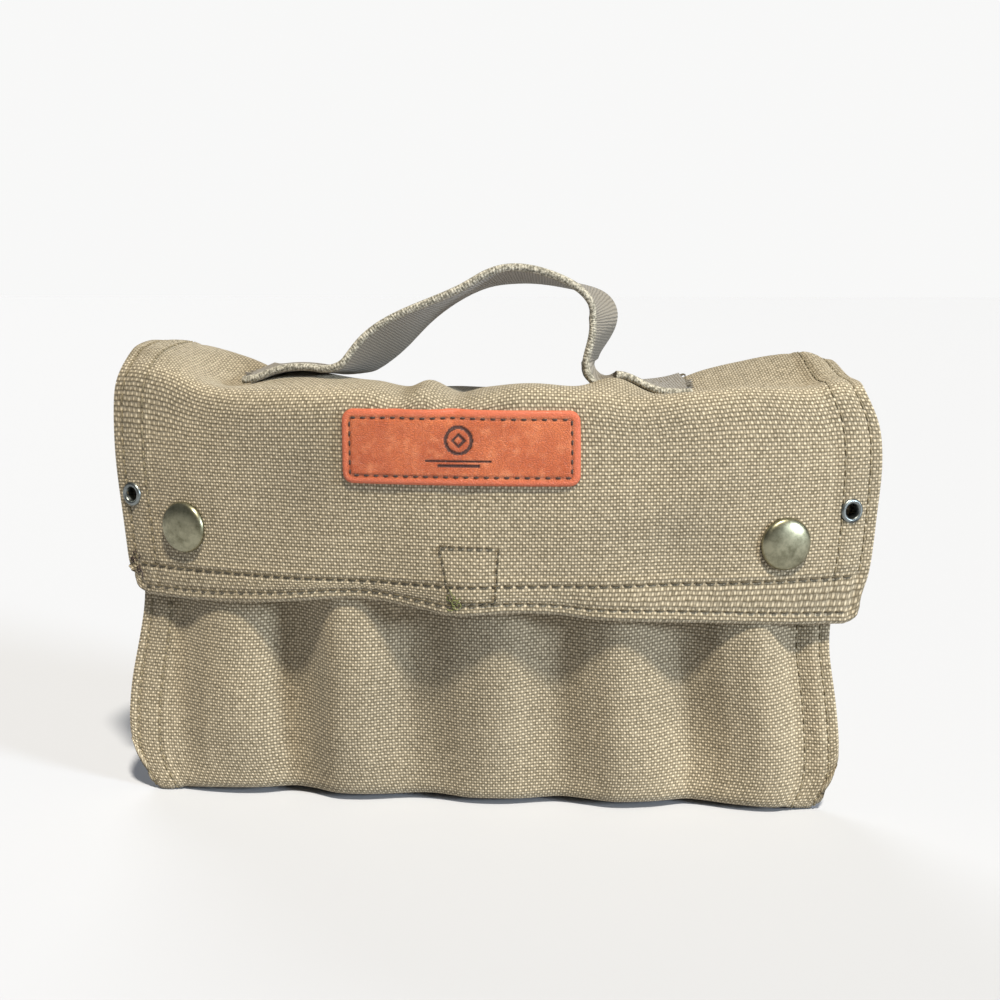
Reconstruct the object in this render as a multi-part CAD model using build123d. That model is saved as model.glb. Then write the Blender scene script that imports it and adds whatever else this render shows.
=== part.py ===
"""Canvas roll-top carrying pouch: one canvas strip folded into a pouch, a top and a snapped flap, with a webbing handle.

Millimetres. +Z is up, +X is along the width, and the flap faces -Y. The origin is on the floor, in the middle of the
object's box. The strip's parts are separate solids, one for each stretch between two folds, with their hems.
"""
from build123d import *
import os
from math import asin, degrees, sqrt

# Cloth
CANVAS = 1.3  # one layer of heavy cotton duck
FOLD = 1.1  # the layer that a hem folds under
HEM_WIDTH = 12.5
EDGE_GAP = 0.5  # left at each fold between two stretches of the strip

# Overall shape
WIDTH = 230.0
FLAP_FRONT_Y = -26.2  # the flap's foremost point
FLAP_RADIUS = 250.0  # the flap's outer face, seen from above
BACK_Y = 27.8  # the back wall's outer face
BACK_END_Y = 21.8  # the same face at the strip's edges
TOP_Z = 129.5  # the top's upper face at its middle, where it sags
TOP_RISE = 7.5  # how much higher it stands at the strip's edges
SAG_RADIUS = ((WIDTH / 2) ** 2 + TOP_RISE**2) / (2 * TOP_RISE)

# Flap
FLAP_LOW_Z = 62.0
FLAP_HEM_Z = 71.0  # the flap's bottom hem ends here
FLAP_CORNER = 5.0
SNAP = {-1: (-91.0, 85.3), 1: (90.0, 83.3)}  # X and Z of each snap: the flap hangs a little askew
EYELET = {-1: (-110.0, 94.0), 1: (110.0, 92.0)}
LABEL_X, LABEL_Z = -4.0, 112.3
LABEL_SIZE, LABEL_THICK, LABEL_CORNER = (68.5, 21.2), 1.6, 3.0
TAB_X, TAB_SIZE = -3.0, (18.0, 13.0)  # a tab's sewn patch behind the flap's bottom edge

# Snap fasteners, measured along their own axis from the flap's outer face
CAP_RADIUS, CAP_HEIGHT = 7.5, 2.7
SHANK_RADIUS = 1.8
PIERCED = 0.2  # a hole through cloth is this much larger than what goes through it
CURVE_DROP = 0.08  # a flat fitting stands this far off the middle of a curved inner face
SOCKET_RADIUS, SOCKET_HEIGHT, SOCKET_WEB = 6.0, 3.4, 0.6
CAVITY_RADIUS = 3.5
SPRING_RADIUS, SPRING_WIRE = 3.4, 0.35
STUD_BASE_RADIUS, STUD_BASE = 5.5, 0.8
STUD_NECK, STUD_HEAD, STUD_HEIGHT = 1.8, 2.3, 2.3
POST_RADIUS = 5.0
SNAP_GAP = 0.3

# Eyelets
EYELET_BORE, EYELET_BARREL, EYELET_FLANGE = 2.0, 2.4, 4.0
EYELET_RIM, WASHER = 0.8, 0.7

# Pouch, whose front stands behind the snaps
FRONT_RADIUS = FLAP_RADIUS - CANVAS - SOCKET_HEIGHT - SNAP_GAP - STUD_BASE
SEAM_X, SEAM_OUT_X = 99.0, 112.0
SEAM_TOP_Z = 88.0
POUCH_TOP_Z = 100.0
MOUTH_HEM = 9.0
FLUTES, FLUTE_PITCH, FLUTE_CREST, FLUTE_VALLEY = 5, 38.0, 2.0, -1.4
FLUTE_TOP_Z = 74.0
FLOOR_FRONT_Y, FLOOR_BULGE = -8.0, 0.15  # where the front wall's ends stand, and how much of its bow is left there
SEAM_TURN = 1.5  # how far back the seam's outer edge is turned at the floor

# Inner pocket sheet, half-round pockets sewn flat to the back wall between them
POCKETS, POCKET_PITCH, POCKET_RADIUS, POCKET_TOP_Z = 5, 31.0, 13.0, 75.0
BINDING_HEIGHT, BINDING = 10.0, 0.9

# Handle
WEBBING, WEBBING_WIDTH = 1.8, 25.0
HANDLE_Y = 0.8
TAIL_LEFT, TAIL_RIGHT = (-71.0, -46.0), (33.0, 63.0)  # where each sewn end lies along X
HANDLE_ROUTE = [
    (-44.5, 131.8), (-38, 141), (-25, 148.5), (-8, 157), (4, 162.4), (14, 163.9),
    (26, 159.5), (33.5, 150.5), (33.6, 140.5), (31, 131.2)]
HANDLE_STEPS = 24
LEG_TOP_Z = 149.5  # below this the webbing bends when the handle tips

ARC_Y = FLAP_FRONT_Y + FLAP_RADIUS  # the centre of the flap's and the front wall's curves, seen from above
SAG_Z = TOP_Z + SAG_RADIUS
FAR = 400.0


def arc_y(radius, x):
    """Y of the curve of that radius round the flap's centre line, at x."""
    return ARC_Y - sqrt(radius**2 - x**2)


def wall(inner, outer, x_low, x_high, z_low, z_high):
    """An upright curved wall between two radii, x_low to x_high and z_low to z_high."""
    height = z_high - z_low
    ring = Cylinder(outer, height) - Cylinder(inner, height)
    middle = (z_low + z_high) / 2
    span = Box(x_high - x_low, outer, height)
    return Pos(0, ARC_Y, middle) * ring & Pos((x_low + x_high) / 2, ARC_Y - outer / 2, middle) * span


def above_sag(drop):
    """Everything above the top's sagging upper face, lowered by drop."""
    return Pos(0, 0, SAG_Z) * Rot(90, 0, 0) * Cylinder(SAG_RADIUS + drop, FAR)


def sagging(x_low, x_high, y_low, y_high, low, high):
    """A sagging sheet from low to high above the top's upper face, inside a box seen from above."""
    band = above_sag(-low) - above_sag(-high)
    middle = ((x_low + x_high) / 2, (y_low + y_high) / 2, TOP_Z)
    return band & Pos(*middle) * Box(x_high - x_low, y_high - y_low, 4 * TOP_RISE)


def rounded_front(x, z, width, height, radius):
    """A prism along Y with rounded corners, to trim a sheet that faces the front."""
    return Pos(x, 0, z) * Rot(90, 0, 0) * extrude(RectangleRounded(width, height, radius), FAR / 2, both=True)


def on_flap(x, z):
    """The place of a fitting on the flap's outer face, with its own +Z outwards."""
    turn = degrees(asin(x / FLAP_RADIUS))
    return Pos(x, arc_y(FLAP_RADIUS, x), z) * Rot(0, 0, turn) * Rot(90, 0, 0)


def turned(points):
    """A solid turned about its own Z from an outline of (radius, height) points."""
    outline = [(r, 0, h) for r, h in points]
    return revolve(make_face(Polyline(*outline, close=True)), Axis.Z)


# ---- Pouch ----

SEAM_Y = arc_y(FRONT_RADIUS, SEAM_X)  # the side seams' place behind the flap


def flute_line(crest, valley, end_y, bulge):
    """The front wall's wavy line seen from above, one arc for each flute and a flat end beyond the outer two."""
    def at(x, out):
        return (x, end_y + (arc_y(FRONT_RADIUS, x) - SEAM_Y) * bulge - out)

    half = FLUTES * FLUTE_PITCH / 2
    edges = [Line(at(-SEAM_X, 0), at(-half, valley))]
    for k in range(FLUTES):
        left = -half + k * FLUTE_PITCH
        edges.append(ThreePointArc(
            at(left, valley), at(left + FLUTE_PITCH / 2, crest), at(left + FLUTE_PITCH, valley)))
    edges.append(Line(at(half, valley), at(SEAM_X, 0)))
    return edges


def flute_wire(z, *shape):
    """The closed outline of the front wall at height z."""
    outer = flute_line(*shape)
    inner = [Pos(0, CANVAS, 0) * e for e in outer]
    ends = [Line(outer[0] @ 0, inner[0] @ 0), Line(outer[-1] @ 1, inner[-1] @ 1)]
    return Pos(0, 0, z) * Wire(outer + inner + ends)


def front_panel():
    """The front wall: fluted and nearly straight at the floor, smooth and bowed behind the flap."""
    fluted = Solid.make_loft([
        flute_wire(CANVAS, FLUTE_CREST, FLUTE_VALLEY, FLOOR_FRONT_Y, FLOOR_BULGE),
        flute_wire(FLUTE_TOP_Z, 0, 0, SEAM_Y, 1.0),
    ], ruled=True)
    smooth = extrude(make_face(flute_wire(FLUTE_TOP_Z, 0, 0, SEAM_Y, 1.0)), POUCH_TOP_Z - FLUTE_TOP_Z)
    return fluted + smooth


def back_line(end, corner, radius):
    """The back wall's middle line seen from above, from one end to the other."""
    y = BACK_Y - CANVAS / 2
    points = [(-end[0], end[1]), (-corner, y), (corner, y), end]
    return FilletPolyline(*points, radius=radius)


def back_panel():
    """The back wall: meeting the side seams below their top, and the strip's full width above it."""
    sections = []
    for z, end_y in ((CANVAS, FLOOR_FRONT_Y), (FLUTE_TOP_Z, SEAM_Y)):
        line = back_line((SEAM_X, end_y + CANVAS * 2), 90, 12)
        sections.append(Pos(0, 0, z) * trace(line, CANVAS).face().outer_wire())
    straight = extrude(make_face(sections[-1]), SEAM_TOP_Z - FLUTE_TOP_Z)
    lower = Solid.make_loft(sections, ruled=True) + straight
    high = trace(back_line((WIDTH / 2, BACK_END_Y), 84, 60), CANVAS)
    upper = Pos(0, 0, SEAM_TOP_Z) * extrude(high, 2 * (TOP_Z - SEAM_TOP_Z))
    between = Pos(0, 0, TOP_Z) * Box(2 * SEAM_X - EDGE_GAP, FAR, FAR)
    inside = Pos(0, 0, TOP_Z) * Box(WIDTH, FAR, FAR)
    return (lower & between) + (upper & inside) - above_sag(CANVAS + FOLD + EDGE_GAP)


def back_side_hem(side):
    """The folded layer along each edge of the back wall's free upper stretch."""
    line = back_line((WIDTH / 2, BACK_END_Y - CANVAS), 84, 60)
    sheet = extrude(trace(line, FOLD), 2 * TOP_Z)
    low, high = sorted((side * (WIDTH / 2 - HEM_WIDTH), side * WIDTH / 2))
    strip = Pos((low + high) / 2, 0, SEAM_TOP_Z + FAR / 2) * Box(high - low, FAR, FAR)
    return (sheet & strip) - above_sag(CANVAS + FOLD + EDGE_GAP) - back_panel()


def side_seam(side):
    """The flange where the front and the back are sewn together, leaning back, with its lower corner rounded."""
    sections = []
    for z, near_y, far_y in (
            (CANVAS, FLOOR_FRONT_Y, FLOOR_FRONT_Y + SEAM_TURN),
            (FLUTE_TOP_Z, SEAM_Y, arc_y(FRONT_RADIUS, SEAM_OUT_X))):
        near, far = (side * SEAM_X, near_y, z), (side * SEAM_OUT_X, far_y, z)
        behind = [(x, y + 2 * CANVAS, z) for x, y, z in (far, near)]
        sections.append(Wire(Polyline(near, far, *behind, close=True).edges()))
    corner = rounded_front(side * (SEAM_OUT_X - FAR / 4), FAR / 4 + CANVAS, FAR / 2, FAR / 2, FLAP_CORNER)
    straight = extrude(make_face(sections[-1]), SEAM_TOP_Z - FLUTE_TOP_Z)
    return (Solid.make_loft(sections, ruled=True) + straight) & corner


def bottom_panel():
    """The strip's fold under the pouch, from the front wall's foot to the back wall's."""
    front = flute_line(FLUTE_CREST, FLUTE_VALLEY, FLOOR_FRONT_Y, FLOOR_BULGE)
    start, end = front[0] @ 0, front[-1] @ 1
    back = FilletPolyline(
        (start.X, start.Y), (-90, BACK_Y), (90, BACK_Y), (end.X, end.Y), radius=12)
    return extrude(make_face(Wire(front + back.edges())), CANVAS)


def mouth_hem():
    """The folded layer along the pouch's mouth, inside the front wall."""
    outer = FRONT_RADIUS - CANVAS
    return wall(outer - FOLD, outer, -SEAM_X + 2, SEAM_X - 2, POUCH_TOP_Z - MOUTH_HEM, POUCH_TOP_Z)


def pocket_sheet(radius, thick, z_low, z_high):
    """A scalloped layer of half-round pockets and the flat strips between them, sewn to the back wall."""
    back = BACK_Y - CANVAS
    height = z_high - z_low
    half = POCKETS * POCKET_PITCH / 2
    middle = (z_low + z_high) / 2
    sheet = Pos(0, back - thick / 2, middle) * Box(2 * half, thick, height)
    places = [(-half + (k + 0.5) * POCKET_PITCH, back, middle) for k in range(POCKETS)]
    for place in places:
        sheet += Pos(*place) * Cylinder(radius, height)
    for place in places:
        sheet -= Pos(*place) * Cylinder(radius - thick, height + 2)
    return sheet & Pos(0, back - FAR / 2, middle) * Box(FAR, FAR, height)


def pocket_binding():
    """A bound edge along the pockets' rims, on their outer faces."""
    z_low = POCKET_TOP_Z - BINDING_HEIGHT
    outside = pocket_sheet(POCKET_RADIUS + BINDING, CANVAS + BINDING, z_low, POCKET_TOP_Z)
    return outside - pocket_sheet(POCKET_RADIUS, CANVAS, z_low - 1, POCKET_TOP_Z + 1)


# ---- Flap ----

def flap_sheet(x_low, x_high, z_low, z_high, thick):
    """A stretch of the flap, stopping short of the top's underside."""
    sheet = wall(FLAP_RADIUS - thick, FLAP_RADIUS, x_low, x_high, z_low, z_high)
    return sheet - above_sag(thick + EDGE_GAP)


def flap_side_hem(side):
    low, high = sorted((side * (WIDTH / 2 - HEM_WIDTH), side * WIDTH / 2))
    hem = flap_sheet(low, high, FLAP_LOW_Z, TOP_Z + 2 * TOP_RISE, CANVAS + FOLD)
    corner = rounded_front(
        side * (WIDTH / 2 - FAR / 4), FAR / 4 + FLAP_LOW_Z, FAR / 2, FAR / 2, FLAP_CORNER)
    hole = on_flap(*EYELET[side]) * Cylinder(EYELET_BARREL + PIERCED / 2, 8 * FOLD)
    return (hem & corner) - hole


def flap_panel():
    half = WIDTH / 2 - HEM_WIDTH
    panel = flap_sheet(-half, half, FLAP_HEM_Z, TOP_Z + 2 * TOP_RISE, CANVAS)
    for side in (-1, 1):
        panel -= on_flap(*SNAP[side]) * Cylinder(SHANK_RADIUS + PIERCED, 8 * CANVAS)
    return panel


def flap_bottom_hem():
    half = WIDTH / 2 - HEM_WIDTH
    return flap_sheet(-half, half, FLAP_LOW_Z, FLAP_HEM_Z, CANVAS + FOLD)


def flap_centre_tab():
    """A short webbing tab's patch, sewn behind the flap above its hem."""
    width, height = TAB_SIZE
    outer = FLAP_RADIUS - CANVAS
    return wall(outer - FOLD, outer, TAB_X - width / 2, TAB_X + width / 2, FLAP_HEM_Z, FLAP_HEM_Z + height)


def leather_label():
    width, height = LABEL_SIZE
    patch = wall(
        FLAP_RADIUS, FLAP_RADIUS + LABEL_THICK,
        LABEL_X - width / 2, LABEL_X + width / 2, LABEL_Z - height / 2, LABEL_Z + height / 2)
    return patch & rounded_front(LABEL_X, LABEL_Z, width, height, LABEL_CORNER)


# ---- Snap fasteners and eyelets, each made on its own axis ----

def snap_cap():
    """The domed cap and the shank that holds it through the cloth, flared inside the socket."""
    rise = CAP_HEIGHT - SOCKET_WEB
    sphere = (CAP_RADIUS**2 + rise**2) / (2 * rise)
    dome = Pos(0, 0, CAP_HEIGHT - sphere) * Sphere(sphere) & Pos(0, 0, FAR / 2) * Cylinder(CAP_RADIUS, FAR)
    dome = fillet(dome.edges().sort_by(Axis.Z)[0], SOCKET_WEB / 2)
    web = -(CANVAS + SOCKET_WEB)
    shank = Pos(0, 0, web / 2) * Cylinder(SHANK_RADIUS, -web)
    flare = Pos(0, 0, web - 0.2) * Cylinder(SHANK_RADIUS + 0.8, 0.4)
    return dome + shank + flare


def snap_socket():
    """The socket behind the flap: a web against the cloth, a cavity for the stud and a groove for the spring."""
    top, web, low = -CANVAS - CURVE_DROP, -(CANVAS + SOCKET_WEB), -(CANVAS + SOCKET_HEIGHT)
    groove = low + 1.1
    wire = SPRING_WIRE + 0.05
    return turned([
        (SHANK_RADIUS, top), (SOCKET_RADIUS, top), (SOCKET_RADIUS, web), (SOCKET_RADIUS - 1, web - 0.6),
        (SOCKET_RADIUS - 1, low), (CAVITY_RADIUS, low), (CAVITY_RADIUS, groove - wire),
        (CAVITY_RADIUS + 0.6, groove - wire), (CAVITY_RADIUS + 0.6, groove + wire),
        (CAVITY_RADIUS, groove + wire), (CAVITY_RADIUS, web), (SHANK_RADIUS, web)])


def snap_spring():
    """The split ring that grips the stud's head, lying in the socket's groove."""
    ring = Torus(SPRING_RADIUS, SPRING_WIRE) - Pos(SPRING_RADIUS, 0, 0) * Box(2, 1.6, 2)
    return Pos(0, 0, -(CANVAS + SOCKET_HEIGHT) + 1.1) * ring


def snap_stud():
    """The stud on the pouch's front wall, with a neck under its head for the spring."""
    face = FRONT_RADIUS - FLAP_RADIUS
    base = face + STUD_BASE
    tip = base + STUD_HEIGHT
    return turned([
        (POST_BORE, face), (STUD_BASE_RADIUS, face), (STUD_BASE_RADIUS, base),
        (STUD_NECK + 0.4, base), (STUD_NECK, base + 0.6), (STUD_NECK, base + 1.0), (STUD_HEAD, tip - 0.7),
        (STUD_HEAD, tip - 0.4), (STUD_NECK, tip), (POST_BORE, tip)])


POST_BORE = 1.2  # the stud is hollow for the post's barrel


def snap_post():
    """The post inside the pouch, whose barrel goes through the cloth and holds the stud."""
    back = FRONT_RADIUS - FLAP_RADIUS - CANVAS
    plate = Pos(0, 0, back - CURVE_DROP - 0.4) * Cylinder(POST_RADIUS, 0.8)
    barrel = Pos(0, 0, back + 1.7) * Cylinder(POST_BORE, 3.8)
    return plate + barrel


def eyelet():
    """The eyelet's barrel with its rolled outer rim."""
    inner_end = -(CANVAS + FOLD + WASHER + 0.45)
    return turned([
        (EYELET_BORE, inner_end), (EYELET_BARREL + 0.5, inner_end), (EYELET_BARREL + 0.5, inner_end + 0.4),
        (EYELET_BARREL, inner_end + 0.4), (EYELET_BARREL, 0), (EYELET_FLANGE, 0),
        (EYELET_FLANGE, EYELET_RIM / 2), (EYELET_FLANGE - 0.5, EYELET_RIM),
        (EYELET_BORE + 0.5, EYELET_RIM), (EYELET_BORE, EYELET_RIM - 0.4)])


def eyelet_washer():
    """The washer that the barrel is rolled over, behind the hem."""
    face = -(CANVAS + FOLD + CURVE_DROP / 2)
    ring = Cylinder(EYELET_FLANGE, WASHER) - Cylinder(EYELET_BARREL + 0.02, WASHER)
    return Pos(0, 0, face - WASHER / 2) * ring


# ---- Top and handle ----

def top_outline():
    """The top seen from above: the flap's curve in front and the back wall's line behind."""
    low = BACK_Y + 0.5
    back = back_line((WIDTH / 2, BACK_END_Y), 84, 60)
    half = WIDTH / 2
    behind = make_face(Wire(back.edges() + Polyline(
        back @ 1, (half, -FAR / 4), (-half, -FAR / 4), back @ 0).edges()))
    in_front = Pos(0, ARC_Y) * Circle(FLAP_RADIUS)
    return extrude(behind & in_front, low + FAR)


def top_sheet(x_low, x_high, low, high):
    return sagging(x_low, x_high, -FAR / 4, FAR / 4, low, high) & top_outline()


def handle_strip():
    """The loose loop of webbing between its two sewn ends."""
    route = Spline(*HANDLE_ROUTE)
    sides = []
    for side in (1, -1):
        points = []
        for k in range(HANDLE_STEPS + 1):
            middle, along = route @ (k / HANDLE_STEPS), route % (k / HANDLE_STEPS)
            points.append(middle + Vector(-along.Y, along.X) * (side * WEBBING / 2))
        sides.append(Spline(*points))
    outer, inner = sides
    outline = Wire([outer, inner, Line(outer @ 0, inner @ 0), Line(outer @ 1, inner @ 1)])
    strip = extrude(make_face(outline), WEBBING_WIDTH)
    return Pos(0, HANDLE_Y + WEBBING_WIDTH / 2, 0) * Rot(90, 0, 0) * strip


def handle_tail(span):
    y_low, y_high = HANDLE_Y - WEBBING_WIDTH / 2, HANDLE_Y + WEBBING_WIDTH / 2
    return sagging(span[0], span[1], y_low, y_high, 0, WEBBING)


# ---- Assembly ----

front = front_panel()
for side in (-1, 1):
    front -= on_flap(*SNAP[side]) * Pos(0, 0, -8) * Cylinder(POST_BORE + PIERCED, 12)

parts = {
    "front_panel": front,
    "back_panel": back_panel(),
    "bottom_panel": bottom_panel(),
    "mouth_hem": mouth_hem(),
    "pocket_sheet": pocket_sheet(POCKET_RADIUS, CANVAS, CANVAS, POCKET_TOP_Z),
    "pocket_binding": pocket_binding(),
    "flap_panel": flap_panel(),
    "flap_bottom_hem": flap_bottom_hem(),
    "flap_centre_tab": flap_centre_tab(),
    "leather_label": leather_label(),
    "top_panel": top_sheet(-WIDTH / 2, WIDTH / 2, -CANVAS, 0),
    "handle_tail_left": handle_tail(TAIL_LEFT),
    "handle_tail_right": handle_tail(TAIL_RIGHT),
}

strip = handle_strip()
above = Pos(0, 0, LEG_TOP_Z + FAR / 2) * Box(FAR, FAR, FAR)
legs = (strip - above).solids().sort_by(Axis.X)
parts["handle_grip"] = strip & above
parts["handle_leg_left"] = legs[0]
parts["handle_leg_right"] = legs[-1]

for name, side in (("left", -1), ("right", 1)):
    snap = on_flap(*SNAP[side])
    hole = on_flap(*EYELET[side])
    edges = sorted((side * (WIDTH / 2 - HEM_WIDTH), side * WIDTH / 2))
    parts[f"side_seam_{name}"] = side_seam(side)
    parts[f"flap_side_hem_{name}"] = flap_side_hem(side)
    parts[f"back_side_hem_{name}"] = back_side_hem(side)
    parts[f"top_side_hem_{name}"] = top_sheet(*edges, -CANVAS - FOLD, -CANVAS)
    parts[f"snap_cap_{name}"] = snap * snap_cap()
    parts[f"snap_socket_{name}"] = snap * snap_socket()
    parts[f"snap_spring_{name}"] = snap * snap_spring()
    parts[f"snap_stud_{name}"] = snap * snap_stud()
    parts[f"snap_post_{name}"] = snap * snap_post()
    parts[f"eyelet_{name}"] = hole * eyelet()
    parts[f"eyelet_washer_{name}"] = hole * eyelet_washer()

os.makedirs("parts", exist_ok=True)
for name, shape in parts.items():
    export_step(Compound(children=shape.solids()), f"parts/{name}.step")
whole = Compound(children=[s for shape in parts.values() for s in shape.solids()])
box = whole.bounding_box()
print("box", box.min, box.max, "nodes", len(parts))
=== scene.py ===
"""Looks for the canvas fold-over pouch: cloth, webbing, leather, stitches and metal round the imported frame."""
import bpy
import math
import numpy as np
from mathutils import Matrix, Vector


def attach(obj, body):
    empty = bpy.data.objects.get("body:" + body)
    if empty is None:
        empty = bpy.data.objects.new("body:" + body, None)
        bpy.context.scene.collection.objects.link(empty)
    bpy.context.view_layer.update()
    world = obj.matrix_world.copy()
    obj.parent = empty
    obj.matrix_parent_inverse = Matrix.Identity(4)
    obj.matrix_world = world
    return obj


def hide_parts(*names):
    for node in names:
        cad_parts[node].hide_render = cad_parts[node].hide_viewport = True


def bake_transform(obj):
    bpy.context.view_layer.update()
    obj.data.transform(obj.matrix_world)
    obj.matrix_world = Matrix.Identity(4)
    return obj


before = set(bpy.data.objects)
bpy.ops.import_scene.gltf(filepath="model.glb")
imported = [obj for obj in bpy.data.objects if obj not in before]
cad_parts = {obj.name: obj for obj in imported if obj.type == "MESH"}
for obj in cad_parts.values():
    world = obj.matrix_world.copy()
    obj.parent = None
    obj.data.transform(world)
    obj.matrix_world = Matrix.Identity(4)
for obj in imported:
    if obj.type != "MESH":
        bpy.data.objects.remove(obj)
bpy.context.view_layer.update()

MM = 0.001
UV_UNIT = 100  # mm of cloth in one unit of UV
TINY = 1e-9

# ---- numbers, in mm

FLAP_R, ARC_Y = 250.0, 223.8  # radius and centre of the flap's curve seen from above
ARC_END = 118  # the curves stop turning this far out
FRONT_R = 244.2  # the pouch's front behind the flap
HALF = 115.0  # half the cloth's width
SEAM_X = 99.0  # where the side seams' flat edges start
BACK_Y = 27.8
CLOTH = 1.3
HEM = 12.0
HEM_FOLD = 1.0  # the extra layer in a hem
SIDE_ROWS = (3.0, 10.6)  # stitch lines, in from the cloth's side edges
LOW_ROWS = (2.4, 8.0)  # stitch lines, up from the flap's lower edge
MOUTH_ROWS = (2.4, 7.6)  # stitch lines, down from the pouch's mouth
EYELETS = (("left", -110.0, 94.0), ("right", 110.0, 92.0))
SNAPS = (("left", -91.0, 85.3), ("right", 90.0, 83.3))


def arc(radius, x):
    """Y of a curve of this radius across the pouch, seen from above."""
    return ARC_Y - np.sqrt(radius**2 - np.minimum(np.abs(x), ARC_END) ** 2)


def smooth(a, b, x):
    """0 before a, 1 after b and an easy step between."""
    t = np.clip((np.asarray(x, float) - a) / (b - a), 0, 1)
    return t * t * (3 - 2 * t)


def bump(x, at, width):
    """A bell of height 1 at a place."""
    return np.exp(-(((np.asarray(x, float) - at) / width) ** 2))


def unit(vectors):
    """Vectors with a length of 1, along the last axis."""
    return vectors / np.maximum(np.linalg.norm(vectors, axis=-1, keepdims=True), TINY)


def distances(points):
    """How far along a line of points each one is."""
    return np.concatenate([[0], np.cumsum(np.linalg.norm(np.diff(points, axis=0), axis=1))])


def through(knots, x):
    """A smooth curve through (x, value) knots, flat at both ends."""
    kx = np.array([k[0] for k in knots], float)
    ky = np.array([k[1] for k in knots], float)
    slope = np.zeros(len(kx))
    d = np.diff(ky) / np.diff(kx)
    slope[1:-1] = (d[:-1] + d[1:]) / 2
    x = np.clip(np.asarray(x, float), kx[0], kx[-1])
    i = np.clip(np.searchsorted(kx, x, side="right") - 1, 0, len(kx) - 2)
    h = kx[i + 1] - kx[i]
    t = (x - kx[i]) / h
    return (
        (1 + 2 * t) * (1 - t) ** 2 * ky[i] + t * (1 - t) ** 2 * h * slope[i]
        + t * t * (3 - 2 * t) * ky[i + 1] + t * t * (t - 1) * h * slope[i + 1]
    )


# ---- the canvas strip
# One strip from the pouch's mouth, down the front, under, up the back, over the top and down the flap.
# Each column across the width is a smooth curve over its own control points.

# (x, value) knots across the width: how far the front stands out, and the heights of the top's two long edges
FLUTES = [(-101, 0.4), (-95, -0.2), (-86, 2.6), (-77, 3.4), (-69, 1.4), (-60, -4.4), (-54, -3.2), (-45, 3),
          (-37, 3.2), (-22, -2.4), (-16, -2), (-3, 1.8), (7, 2.2), (19, -2.8), (24, -3.4), (33, 0.2), (42, 3.2),
          (49, 1.2), (58, -5), (63, -4), (74, 1.6), (85, 4), (95, -2), (101, -0.6)]
FRONT_FOLD = [(-115, 138), (-108, 137.8), (-98, 136), (-86, 132.2), (-70, 131), (-50, 132), (-33, 132.6),
              (-22, 130.4), (-15.5, 132.6), (-7, 128.8), (2, 130.6), (11, 132), (22, 131.4), (34, 129.2),
              (47, 126.8), (63, 128.2), (79, 129.4), (97, 129.2), (108, 131.2), (115, 130.5)]
BACK_FOLD = [(-115, 139.8), (-106, 139.9), (-98, 138.8), (-86, 135.6), (-75, 131.4), (-55, 128), (-38, 126.2),
             (-20, 126.6), (20, 126.2), (48, 126.8), (62, 128.6), (73, 132.2), (84, 135), (96, 137.3),
             (106, 137.5), (115, 135)]
# how far the flap's fold lies under the ridge that the top makes behind it
FOLD_DROP = [(-115, 4), (-98, 3.6), (-80, 4.2), (-50, 4.6), (0, 4.2), (20, 3), (38, 1), (60, 0.2), (90, 0.4),
             (115, 2)]
FLAP_LOW = [(-111, 63.4), (-90, 63.4), (-65, 65), (-45, 67), (-30, 67.3), (-15, 65.4), (-8, 64.4), (12, 65),
            (23, 64.4), (33, 63.2), (44, 62.6), (65, 61.3), (83, 60), (103, 58.6), (114, 58)]
# half widths by height, for the pouch and the hanging flap
POUCH_LEFT = [(0, 107.5), (10, 112.5), (30, 113.3), (50, 110), (62, 108.5), (88, 111)]
POUCH_RIGHT = [(0, 105), (8, 108.8), (20, 109), (36, 107.3), (50, 105.2), (62, 106), (88, 111)]
FLAP_LEFT = [(58, 110.2), (70, 112), (86, 114), (105, 115.6), (120, 115.4), (132, 113), (140, 110)]
FLAP_RIGHT = [(58, 113.8), (76, 117), (95, 118.3), (111, 118.4), (120, 117), (128, 113), (140, 110)]
# heights of the control points: up the front, up the back, and down the flap
FRONT_ZS = (100, 93, 86, 79, 72, 65, 58, 51, 44, 37, 30, 23, 16, 10, 5.5)
BACK_ZS = (5.5, 11, 18, 27, 37, 48, 59, 70, 80, 89)
UPPER_BACK_ZS = (97, 105, 113, 120)
FLAP_ZS = (124.5, 118, 111, 104, 97, 90, 83, 76, 70)
POUCH_ROUND, FLAP_ROUND = 6, 4.5  # corner radii of the pouch's foot and the flap


def front_y(x, z):
    """The pouch's front wall."""
    lean = np.clip((z - 1.3) / 72.7, 0, 1)
    seam_y = arc(FRONT_R, SEAM_X)
    base = -8 + (seam_y + 8) * lean
    bow = (arc(FRONT_R, np.minimum(np.abs(x), SEAM_X)) - seam_y) * (0.15 + 0.85 * lean)
    turn = np.clip(np.abs(x) - SEAM_X, 0, None) * (0.11 + 0.37 * lean)
    shift = 5 * (1 - smooth(5, 60, z)) * smooth(40, 62, x)
    flutes = through(FLUTES, x - shift) * (1 - smooth(62, 92, z)) * (0.62 + 0.5 * smooth(0, 26, z))
    return base + bow + turn - flutes


def back_y(x, z):
    """The back wall: in at the seams below, nearly flat across above them."""
    inner = front_y(x, z) + 2 * CLOTH
    low = inner + (BACK_Y - inner) * (1 - smooth(76, 103, np.abs(x)))
    high = BACK_Y - 6.5 * smooth(60, 118, np.abs(x)) ** 1.2
    return low + (high - low) * smooth(86, 118, z) * smooth(60, 80, np.abs(x))


def flap_half(x, z):
    """Half the hanging flap's width at height z, on the side that x is on."""
    return np.where(x < 0, through(FLAP_LEFT, z), through(FLAP_RIGHT, z))


def corner_lift(u, r):
    """How far a rounded corner of radius r lifts the cloth's edge at u."""
    return r - np.sqrt(np.clip(r * r - np.clip(np.abs(u) - (HALF - r), 0, r) ** 2, 0, None))


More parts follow.
